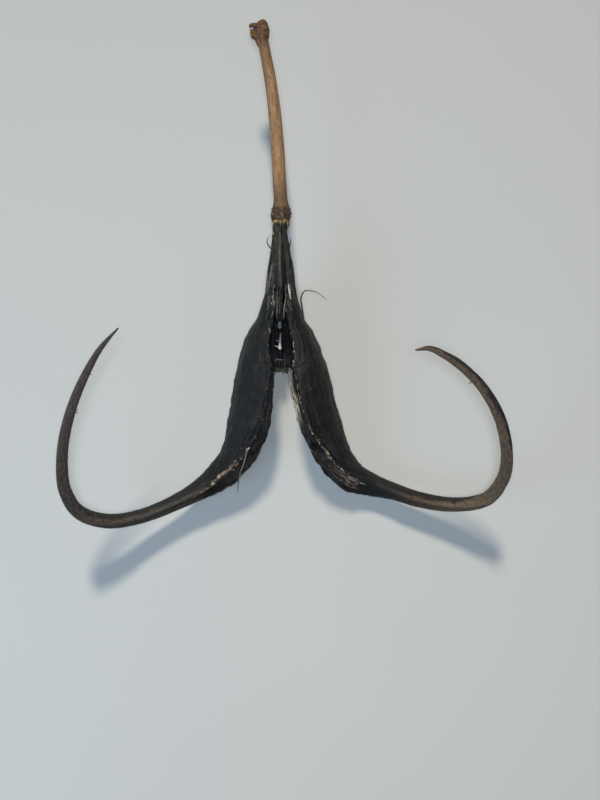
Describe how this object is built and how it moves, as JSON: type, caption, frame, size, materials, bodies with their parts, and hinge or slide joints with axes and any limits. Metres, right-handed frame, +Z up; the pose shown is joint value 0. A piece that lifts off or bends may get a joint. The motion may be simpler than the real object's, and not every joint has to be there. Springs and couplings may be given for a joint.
{
  "type": "devils claw seed pod",
  "caption": "Dry devil's claw seed pod, split open into hollow halves with long curved horns, with its thin woody stalk.",
  "frame": {"origin": "centre of the base of the bounds, on the surface that the pod lies on", "axes": "+Z up from the surface, +Y from the horns towards the end of the stalk, +X to the right seen from above with the stalk pointing away"},
  "size_m": [0.1238, 0.1422, 0.0458],
  "materials": {
    "pod": "dry matte near-black woody capsule, browner towards the horns' tips",
    "stalk": "dry matte tan stem"
  },
  "bodies": {
    "root": {"pod": "pod", "stalk": "stalk"}
  },
  "joints": []
}
